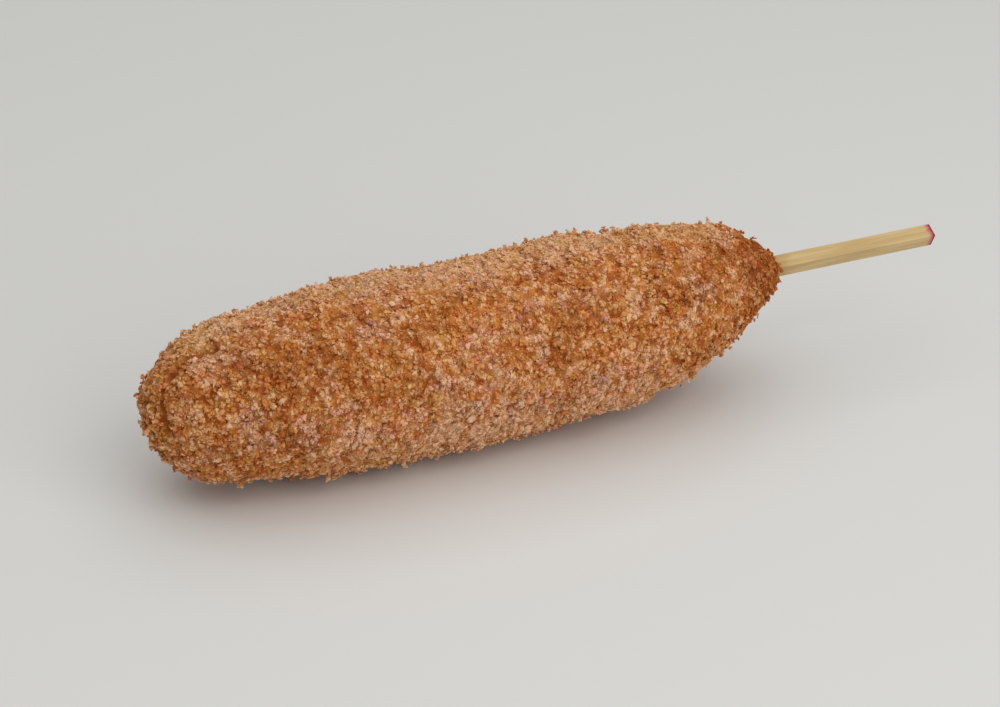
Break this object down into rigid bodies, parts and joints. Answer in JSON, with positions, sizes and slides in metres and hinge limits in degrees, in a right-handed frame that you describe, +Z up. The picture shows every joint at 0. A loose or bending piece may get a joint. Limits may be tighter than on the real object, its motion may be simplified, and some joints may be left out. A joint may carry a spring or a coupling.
{
  "type": "crumb-coated corn dog on a stick",
  "caption": "Crumb-coated, deep-fried corn dog lying on its side, with a square wooden stick whose end is dyed red.",
  "frame": {"origin": "on the surface that it rests on, under the middle of the whole's bounding box", "axes": "+X along the corn dog towards the stick's free end, +Z up, +Y to the back side of the view in which the stick is on the right"},
  "size_m": [0.21, 0.0464, 0.0457],
  "materials": {
    "fried_crumb": "rough golden-brown fried breadcrumbs, dusted with sugar",
    "stick_wood": "bare pale wood, planed smooth, with a dark red dyed end"
  },
  "bodies": {
    "root": {"coated_body": "fried_crumb", "stick": "stick_wood"}
  },
  "joints": []
}
